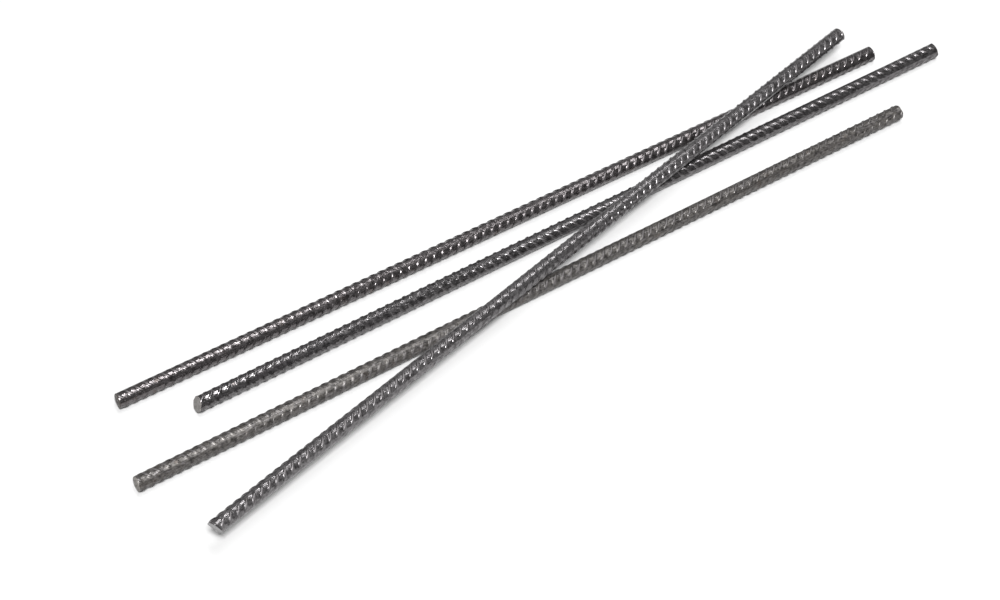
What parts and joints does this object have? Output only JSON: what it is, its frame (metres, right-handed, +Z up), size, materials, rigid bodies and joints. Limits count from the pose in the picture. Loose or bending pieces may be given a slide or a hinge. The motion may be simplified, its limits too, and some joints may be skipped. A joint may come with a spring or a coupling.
{
  "type": "rebar bundle",
  "caption": "Loose cut lengths of ribbed steel reinforcing bar, lying side by side and across each other.",
  "frame": {"origin": "on the floor, under the middle of the whole lay", "axes": "+X along the lower bars, +Y from the front bar to the back bar, +Z up"},
  "size_m": [0.6594, 0.1522, 0.0227],
  "materials": {
    "rolled_steel": "dark warm-grey mill scale with a dull sheen, bare bright steel on the cut ends and the rib crests, a faint brown rust tint"
  },
  "bodies": {
    "root": {"back_bar": "rolled_steel", "middle_bar": "rolled_steel", "front_bar": "rolled_steel", "cross_bar": "rolled_steel"}
  },
  "joints": []
}
